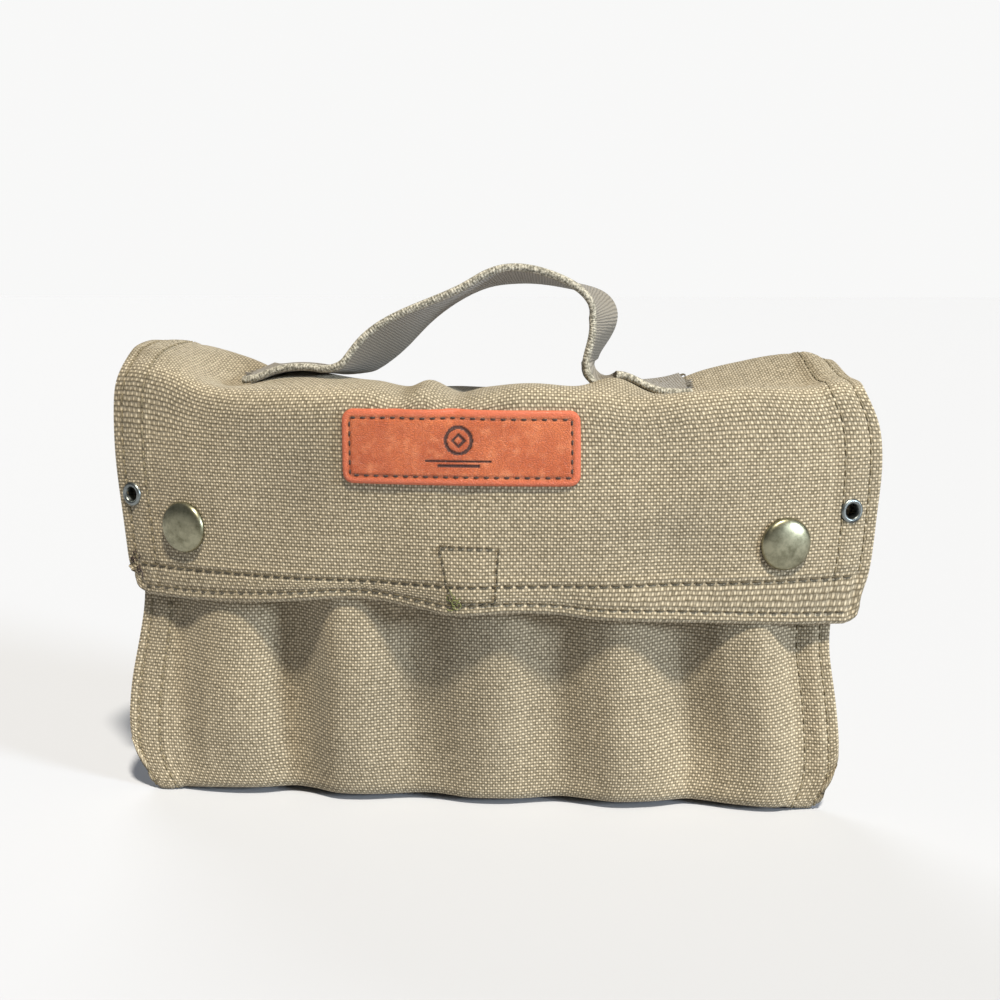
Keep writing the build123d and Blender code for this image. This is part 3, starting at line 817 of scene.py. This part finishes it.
box_top, box_low = LENGTH - 19.5, LENGTH - 3.2  # the box of stitching over the tab
box = [(-10.2, box_top), (7.0, box_top + 0.3), (6.2, box_low), (-6.8, box_low - 0.4), (-10.2, box_top)]
for a, b in zip(box[:-1], box[1:]):
    run = [tuple(np.array(a) + (np.array(b) - np.array(a)) * t) for t in np.linspace(0, 1, 8)]
    stitches["hem"] += stitch_row(run, *BOX_STITCH)


def loose_threads(u, s, count, length, radius, seed):
    """Short ends of thread left curling on the cloth."""
    rng = np.random.RandomState(seed)
    made = []
    for _ in range(count):
        p, n = at(u + rng.uniform(-1.2, 1.2), s + rng.uniform(-1.2, 1.2))
        way = rng.uniform(0, 2 * math.pi)
        turn = rng.uniform(-1.3, 1.3)
        side = np.cross(n, [0, 0, 1.0])
        for _ in range(3):
            q = p + (side * math.cos(way) + np.cross(side, n) * math.sin(way)) * length / 3
            made.append(capsule(p + n * 0.25, q + n * 0.25, n, radius, 0.05, 5))
            p, way = q, way + turn
    return made


box_threads = joined("box_thread_ends", loose_threads(-5.5, LENGTH - 3.4, 9, 3.4, 0.17, 4), THREAD_GREEN)
corner_threads = joined(
    "corner_thread_ends",
    loose_threads(-112.5, LENGTH - 9.5, 5, 2.4, 0.2, 7) + loose_threads(-111.5, LENGTH - 5, 4, 2.6, 0.2, 9),
    THREAD_DARK)

pouch_stitches = joined("pouch_stitches", stitches["pouch"], THREAD_LIGHT)
top_stitches = joined("top_stitches", stitches["top"], THREAD_LIGHT)
flap_stitches = joined("flap_stitches", stitches["flap"], THREAD_LIGHT)
hem_stitches = joined("flap_hem_stitches", stitches["hem"], THREAD)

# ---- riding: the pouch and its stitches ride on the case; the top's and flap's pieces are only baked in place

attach(pouch, "case")
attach(pouch_stitches, "case")
for piece in (back, top_stitches):
    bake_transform(piece)
for piece in (flap, flap_stitches, hem_stitches, box_threads, corner_threads):
    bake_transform(piece)
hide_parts("front_panel", "bottom_panel", "side_seam_left", "side_seam_right", "mouth_hem", "back_panel")
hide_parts("back_side_hem_left", "back_side_hem_right", "top_side_hem_left", "top_side_hem_right", "top_panel")
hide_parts("flap_panel", "flap_side_hem_left", "flap_side_hem_right", "flap_bottom_hem")

# ---- webbing handle

def top_at(x, y):
    """The top's outer face at a place seen from above."""
    part = OUTER[(S > CUT_BACK + 8) & (S < FLAP_FOLD + 8)].reshape(-1, 3)
    part = part[part[:, 2] > 122]
    d = (part[:, 0] - x) ** 2 + (part[:, 1] - y) ** 2
    k = np.argsort(d)[:6]
    w = 1 / (d[k] + 0.05)
    return float((part[k, 2] * w).sum() / w.sum())


# the arch's near and far edges, from left to right
ON_TOP = 0  # stands for the height of the cloth under the point
NEAR = [(-44.5, -9, ON_TOP), (-41.8, -9, 135), (-38.3, -9, 140.3), (-33, -9, 145), (-24.5, -9.2, 149.2),
        (-13, -9.6, 153.8), (-4.5, -10, 157.2), (1, -10, 161.2), (7.5, -10, 163.4), (15.5, -9.8, 162.6),
        (24, -9.4, 159.6), (30.6, -9, 155.2), (33.2, -8.6, 148.6), (32, -8.6, 140.8), (30.4, -9, 135.2),
        (31.2, -9.5, ON_TOP)]
FAR = [(-41.5, 15.5, ON_TOP), (-34.5, 15, 133), (-29, 14.6, 136.6), (-24, 14.3, 140.4), (-18, 14, 147.5),
       (-11, 13.6, 153.2), (-3.5, 13.4, 157.2), (3, 13.2, 159.2), (11, 13.2, 159.6), (19, 13.4, 158.9),
       (28, 13.8, 156.9), (36, 14.3, 154.4), (40.2, 14.6, 149.4), (36.2, 14.8, 141.6), (31.2, 15, 135.6),
       (32.6, 15, ON_TOP)]
LEG_LIFT, TAIL_LIFT = 2.0, 1.2  # the webbing's middle over the cloth
TAIL_REACH = 12  # how far to each side of its middle a sewn end touches the cloth
WEB_WIDE, WEB_THICK, WEB_RIBS = 25.0, 2.3, 20
EDGE_COUNT, TAIL_COUNT, PATH_COUNT = 150, 26, 240


def edge_curve(points):
    pts = np.array(points, float)
    for row in pts:
        if row[2] == ON_TOP:
            row[2] = top_at(row[0], row[1]) + LEG_LIFT
    return spline_rows(pts[:, None, :], np.linspace(0, 1, EDGE_COUNT))[:, 0]


near, far = edge_curve(NEAR), edge_curve(FAR)
middle, sideways = (near + far) / 2, far - near


def tail(x0, x1, y, lean):
    """A sewn end lying behind the ridge from x0 to x1: its middle line and its direction across."""
    rows, over = [], []
    for t in np.linspace(0, 1, TAIL_COUNT):
        x, yy = x0 + (x1 - x0) * t, y + lean * t
        near_z, mid_z, far_z = (top_at(x, yy + d) for d in (-TAIL_REACH, 0, TAIL_REACH))
        rows.append((x, yy, max((near_z + far_z) / 2, mid_z) + TAIL_LIFT))
        over.append((0, 2 * TAIL_REACH, far_z - near_z))
    return np.array(rows), np.array(over, float)


(left_tail, left_over), (right_tail, right_over) = tail(-71, -44.5, 9.0, -5.0), tail(33.5, 60.5, 5.5, 3.5)
path = np.concatenate([left_tail[:-1], middle[2:-2], right_tail[1:]])
across_dir = np.concatenate([left_over[:-1], sideways[2:-2], right_over[1:]])
both = np.hstack([path, across_dir])
for _ in range(4):
    both[1:-1] = (both[:-2] + 2 * both[1:-1] + both[2:]) / 4
gap = distances(both[:, :3])
even = np.linspace(0, gap[-1], PATH_COUNT)
both = np.stack([np.interp(even, gap, column) for column in both.T], -1)
path, across_dir = both[:, :3], both[:, 3:]
verts, faces, uv = rounded_band(path, across_dir, WEB_WIDE, WEB_THICK, WEB_RIBS)
handle = mesh_object("webbing_handle", verts, faces, WEBBING, uv)
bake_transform(handle)
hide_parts("handle_grip", "handle_leg_left", "handle_leg_right", "handle_tail_left", "handle_tail_right")


FRAY_COUNT, FRAY_HALF = 34, 11.8


def fray(end, direction, seed):
    """Loose thread ends at one of the webbing's cuts."""
    parts = []
    rng = np.random.RandomState(seed)
    for k in range(FRAY_COUNT):
        offset = -FRAY_HALF + 2 * FRAY_HALF * k / (FRAY_COUNT - 1) + rng.uniform(-0.3, 0.3)
        base = end + np.array([0, offset, rng.uniform(-0.5, 0.6)])
        tip = base + np.array(
            [direction * rng.uniform(0.8, 2.4), rng.uniform(-0.7, 0.7), rng.uniform(-0.3, 0.9)])
        parts.append(capsule(base, tip, np.array([0, 0.1, 0.995]), 0.2, 0.0, 5))
    return parts


frayed = joined("webbing_frayed_ends", fray(path[0], -1, 3) + fray(path[-1], 1, 5), WEBBING)
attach(frayed, "top")


def on_path(x, offset):
    """A place on a sewn end's upper face, by X and the distance across it."""
    k = np.argmin(np.abs(path[:, 0] - x) + 1000 * ((path[:, 2] > 138) | (np.abs(path[:, 0]) < 20)))
    a = across_dir[k] / np.linalg.norm(across_dir[k])
    return path[k] + a * offset + np.array([0, 0, 0.9])


# each sewn end is held by a box of stitches with a cross in it
TACK_HALF, TACK_PITCH = 9.5, 2.8
tack = []
for x0, x1 in ((-69, -50), (41, 61)):
    w = TACK_HALF
    corners = [(x0, -w), (x1, -w), (x1, w), (x0, w), (x0, -w)]
    legs = list(zip(corners[:-1], corners[1:])) + [((x0, -w), (x1, w)), ((x0, w), (x1, -w))]
    for a, b in legs:
        a, b = np.array(a, float), np.array(b, float)
        count = int(np.linalg.norm(b - a) / TACK_PITCH)
        for k in range(count):
            p, q = a + (b - a) * k / count, a + (b - a) * (k + 0.78) / count
            tack.append(capsule(on_path(*p), on_path(*q), np.array([0, 0, 1.0]), 0.24, 0.02))
tack_stitches = joined("handle_stitches", tack, THREAD)
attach(tack_stitches, "top")

# ---- leather label

LABEL_X, LABEL_Z, LABEL_W, LABEL_H, LABEL_R = -4.0, 112.3, 68.5, 21.2, 3.0
LABEL_ROW = 2.35  # its stitch line, in from the edge


def past_flat(a, b):
    """How far past its straight-sided middle, both ways."""
    return np.abs(a) - (LABEL_W / 2 - LABEL_R), np.abs(b) - (LABEL_H / 2 - LABEL_R)


def mark(a, b):
    """A plain stamped sign: a small diamond in a ring, over two bars."""
    ring = np.abs(np.hypot(a, b - 2.2) - 3.7) < 0.5
    diamond = np.abs(np.abs(a) + np.abs(b - 2.2) - 1.7) < 0.5
    bars = (np.abs(b + 3.7) < 0.36) & (np.abs(a) < 9.5) | (np.abs(b + 5.0) < 0.36) & (np.abs(a) < 6)
    return (ring | diamond | bars).astype(float)


def make_label():
    """The leather patch: rounded corners and rim, a groove for its stitches, and the stamped sign."""
    nu, nv = 226, 72
    half_w, half_h = LABEL_W / 2, LABEL_H / 2
    a, b = np.meshgrid(np.linspace(-half_w, half_w, nu + 1), np.linspace(-half_h, half_h, nv + 1))
    # pull the grid's corners in to the rounded outline
    ca, cb = past_flat(a, b)
    corner = (ca > 0) & (cb > 0)
    far = np.where(corner, np.hypot(ca, cb), 1)
    reach = np.maximum(ca, cb)
    a = np.where(corner, np.sign(a) * (half_w - LABEL_R + ca / far * reach), a)
    b = np.where(corner, np.sign(b) * (half_h - LABEL_R + cb / far * reach), b)
    # how far in from the edge each point is
    ca, cb = past_flat(a, b)
    inside = LABEL_R - np.hypot(np.maximum(ca, 0), np.maximum(cb, 0)) - np.minimum(np.maximum(ca, cb), 0)
    p, n = on_flap(LABEL_X + a, LABEL_Z + b)
    stamp = mark(a + 0.2, b)
    soft = 0.5 * (1 - np.sqrt(np.clip(inside / 0.8, 0, 1)))
    groove = 0.3 * bump(inside, LABEL_ROW, 0.45)
    wrinkle = 0.06 * np.sin(a * 0.9 + np.sin(b)) * bump(inside, 1.2, 1.2)
    up = 1.6 - soft - groove - 0.34 * stamp + wrinkle
    tint = np.where(inside < 2.0, -(1 - smooth(1.3, 2.0, inside)), stamp)
    tint = np.where(np.abs(inside - LABEL_ROW) < 0.32, 0.3, tint)
    outer, inner = p + n * up[..., None], p - n * 0.35
    return shell(
        "leather_label_patch", outer[::-1], inner[::-1], a[::-1], b[::-1], LEATHER, tint=tint[::-1],
        round_off=0.15)


label = make_label()
threads = []
ha, hb = LABEL_W / 2 - LABEL_ROW, LABEL_H / 2 - LABEL_ROW
corners = np.array([(-ha, hb), (ha, hb), (ha, -hb), (-ha, -hb), (-ha, hb)])
for a, b in zip(corners[:-1], corners[1:]):
    count = round(np.linalg.norm(b - a) / 2.95)
    for k in range(count):
        p, q = a + (b - a) * (k + 0.06) / count, a + (b - a) * (k + 0.62) / count
        (pa, na), (pb, nb) = (on_flap(LABEL_X + r[0], LABEL_Z + r[1]) for r in (p, q))
        threads.append(capsule(pa + na * 1.3, pb + nb * 1.3, na, 0.3, 0.0))
label_threads = joined("label_stitches", threads, THREAD_DARK)
for piece in (label, label_threads):
    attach(piece, "flap")
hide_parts("leather_label")

# ---- caps and eyelets


def turned(name, profile, x, z, material, sides=64):
    """A piece turned about the flap's outward direction at X and Z, from (radius, height) points in mm."""
    lean = math.asin(x / FLAP_R)
    normal = np.array([math.sin(lean), -math.cos(lean), 0.0])
    normal = normal / np.linalg.norm(normal)
    place = np.array([x, float(arc(FLAP_R, x)), z])
    a = np.cross(normal, [0, 0, 1.0])
    a /= np.linalg.norm(a)
    b = np.cross(normal, a)
    verts = []
    for r, h in profile:
        for k in range(sides):
            w = 2 * math.pi * k / sides
            verts.append(place + normal * h + (a * math.cos(w) + b * math.sin(w)) * r)
    faces = [[p, t, r, q] for p, q, r, t in ring_faces(len(profile), sides)]
    return mesh_object(name, verts, faces, material)


DOME_TURN = 1.35  # how far round the cap's domed top goes
cap_profile = [(0.01, 3.1)]
for k in range(1, 15):
    t = k / 14 * DOME_TURN
    cap_profile.append((7.5 * math.sin(t) / math.sin(DOME_TURN), 1.0 + 2.1 * math.cos(t) ** 0.8))
cap_profile += [(7.8, 1.15), (7.9, 0.8), (7.85, 0.4), (7.5, 0.1), (6.9, -0.1), (0.01, -0.1)]
for name, x, z in SNAPS:
    cap = turned(f"snap_cap_{name}_dome", cap_profile, x, z, BRASS)
    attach(cap, "flap")
    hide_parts(f"snap_cap_{name}")

eyelet_profile = []
for k in range(13):
    t = math.pi * k / 12
    eyelet_profile.append((2.95 + 0.8 * math.cos(t), 0.25 + 0.8 * math.sin(t)))
eyelet_profile += [
    (2.0, 0.0), (2.0, -3.4), (2.4, -3.55), (3.4, -3.3), (3.6, -2.6), (2.45, -2.5), (2.45, 0.0), (3.95, 0.1)]
for name, x, z in EYELETS:
    ring = turned(f"eyelet_{name}_ring", eyelet_profile, x, z, NICKEL)
    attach(ring, "flap")
    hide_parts(f"eyelet_{name}")

# ---- tab behind the flap

TAB_AT, TAB_WIDE, TAB_FROM, TAB_TO = -3.0, 18.0, 71.0, 84.0
tab_x, tab_z = np.meshgrid(
    np.linspace(TAB_AT - TAB_WIDE / 2, TAB_AT + TAB_WIDE / 2, 25), np.linspace(TAB_TO, TAB_FROM, 19))
tab_p, tab_n = on_flap(tab_x, tab_z)
tab = shell("tab_patch", tab_p - tab_n * 1.5, tab_p - tab_n * 2.6, tab_x, tab_z, WEBBING)
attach(tab, "flap")
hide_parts("flap_centre_tab")

# ---- inner pocket sheet

POCKETS, POCKET_PITCH, POCKET_R = 5, 31, 12.4
POCKET_BACK = BACK_Y - 1.7 - 0.7  # where the sheet is sewn to the back wall
POCKET_Z, TAPE_Z = (1.9, 74.0), (65.5, 75.2)


def pocket_grid(extra, z):
    """The sheet at heights z, moved out by extra: a row of loops in front of the back wall."""
    pts = []
    for k in range(POCKETS):
        cx = -POCKETS * POCKET_PITCH / 2 + (k + 0.5) * POCKET_PITCH
        pts.append((cx - (15.5 if k else 14.6), POCKET_BACK))
        for t in np.linspace(0, math.pi, 17):
            r = POCKET_R + extra
            pts.append((cx - r * math.cos(t), POCKET_BACK - (r - 0.6) * math.sin(t) ** 0.85))
    pts.append((76.6, POCKET_BACK))
    line = np.array(pts)
    for _ in range(2):
        line[1:-1] = (line[:-2] + 4 * line[1:-1] + line[2:]) / 6
    return np.stack(np.broadcast_arrays(line[:, 0], line[:, 1], z[:, None]), -1)


def pocket_piece(name, outside, inside, ends, material):
    """The sheet or its tape between two offsets and two heights, and the length of its line."""
    z = np.linspace(*ends, int((ends[1] - ends[0]) / 2) + 2)
    out, inn = pocket_grid(outside, z), pocket_grid(inside, z)
    run = distances(out[0, :, :2])
    uu, ss = np.meshgrid(run, z)
    return shell(name, out[::-1].copy(), inn[::-1].copy(), uu, ss[::-1], material), run[-1]


pockets, pocket_run = pocket_piece("pocket_cloth", 0.6, -0.6, POCKET_Z, CANVAS)
tape, _ = pocket_piece("pocket_tape", 1.25, -1.1, TAPE_Z, TAPE)
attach(pockets, "case")
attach(tape, "case")
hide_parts("pocket_sheet")
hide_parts("pocket_binding")

# ---- floor, light and camera

floor_mesh = bpy.data.meshes.new("floor")
F = 25  # half the floor's side, in metres
floor_mesh.from_pydata([(-F, -F, 0), (F, -F, 0), (F, F, 0), (-F, F, 0)], [], [(0, 1, 2, 3)])
floor = link(bpy.data.objects.new("floor", floor_mesh))
floor.data.materials.append(Nodes("pale_floor").finish(Base_Color=(0.475, 0.49, 0.53, 1), Roughness=0.95))

scene = bpy.context.scene
scene.view_settings.view_transform = "Standard"


def studio():
    """An even pale room: a soft cool sky for the light, and a plain white behind everything."""
    world = bpy.data.worlds.new("studio")
    world.use_nodes = True
    tree = world.node_tree
    sky = tree.nodes["Background"]
    sky.inputs[0].default_value = (0.88, 0.94, 1.0, 1)
    sky.inputs[1].default_value = 0.15
    plain = tree.nodes.new("ShaderNodeBackground")
    plain.inputs[0].default_value = (0.94, 0.94, 0.935, 1)
    plain.inputs[1].default_value = 1.0
    path = tree.nodes.new("ShaderNodeLightPath")
    mix = tree.nodes.new("ShaderNodeMixShader")
    tree.links.new(path.outputs["Is Camera Ray"], mix.inputs[0])
    tree.links.new(sky.outputs[0], mix.inputs[1])
    tree.links.new(plain.outputs[0], mix.inputs[2])
    tree.links.new(mix.outputs[0], tree.nodes["World Output"].inputs[0])
    scene.world = world


def sun(name, azimuth, elevation, strength, softness, colour):
    """A distant light. Azimuth 0 is in front of the pouch, and grows to its right."""
    light = bpy.data.lights.new(name, "SUN")
    light.energy = strength
    light.angle = math.radians(softness)
    light.color = colour
    a, e = math.radians(azimuth), math.radians(elevation)
    obj = link(bpy.data.objects.new(name, light))
    obj.location = Vector((math.sin(a) * math.cos(e), -math.cos(a) * math.cos(e), math.sin(e)))
    obj.rotation_euler = (-obj.location).to_track_quat("-Z", "Y").to_euler()


studio()
sun("key", 24, 61, 5.2, 6, (1.0, 0.93, 0.80))
sun("window", 64, 14, 2.85, 12, (0.84, 0.95, 1.06))
sun("back_light", 205, 32, 1.1, 30, (0.95, 0.97, 1.0))

CAMERA_AT = (0.04546, -0.42036, 0.15705)  # metres
CAMERA_DOWN, CAMERA_TURN = 11, 5.5  # degrees below level, and turned to the left
camera_data = bpy.data.cameras.new("camera")
camera_data.sensor_width = 36
camera_data.lens = 50.4
camera_data.clip_start = 0.01
camera_data.shift_y = 0.06
camera = link(bpy.data.objects.new("camera", camera_data))
camera.location = CAMERA_AT
camera.rotation_euler = (math.radians(90 - CAMERA_DOWN), 0, math.radians(CAMERA_TURN))
scene.camera = camera
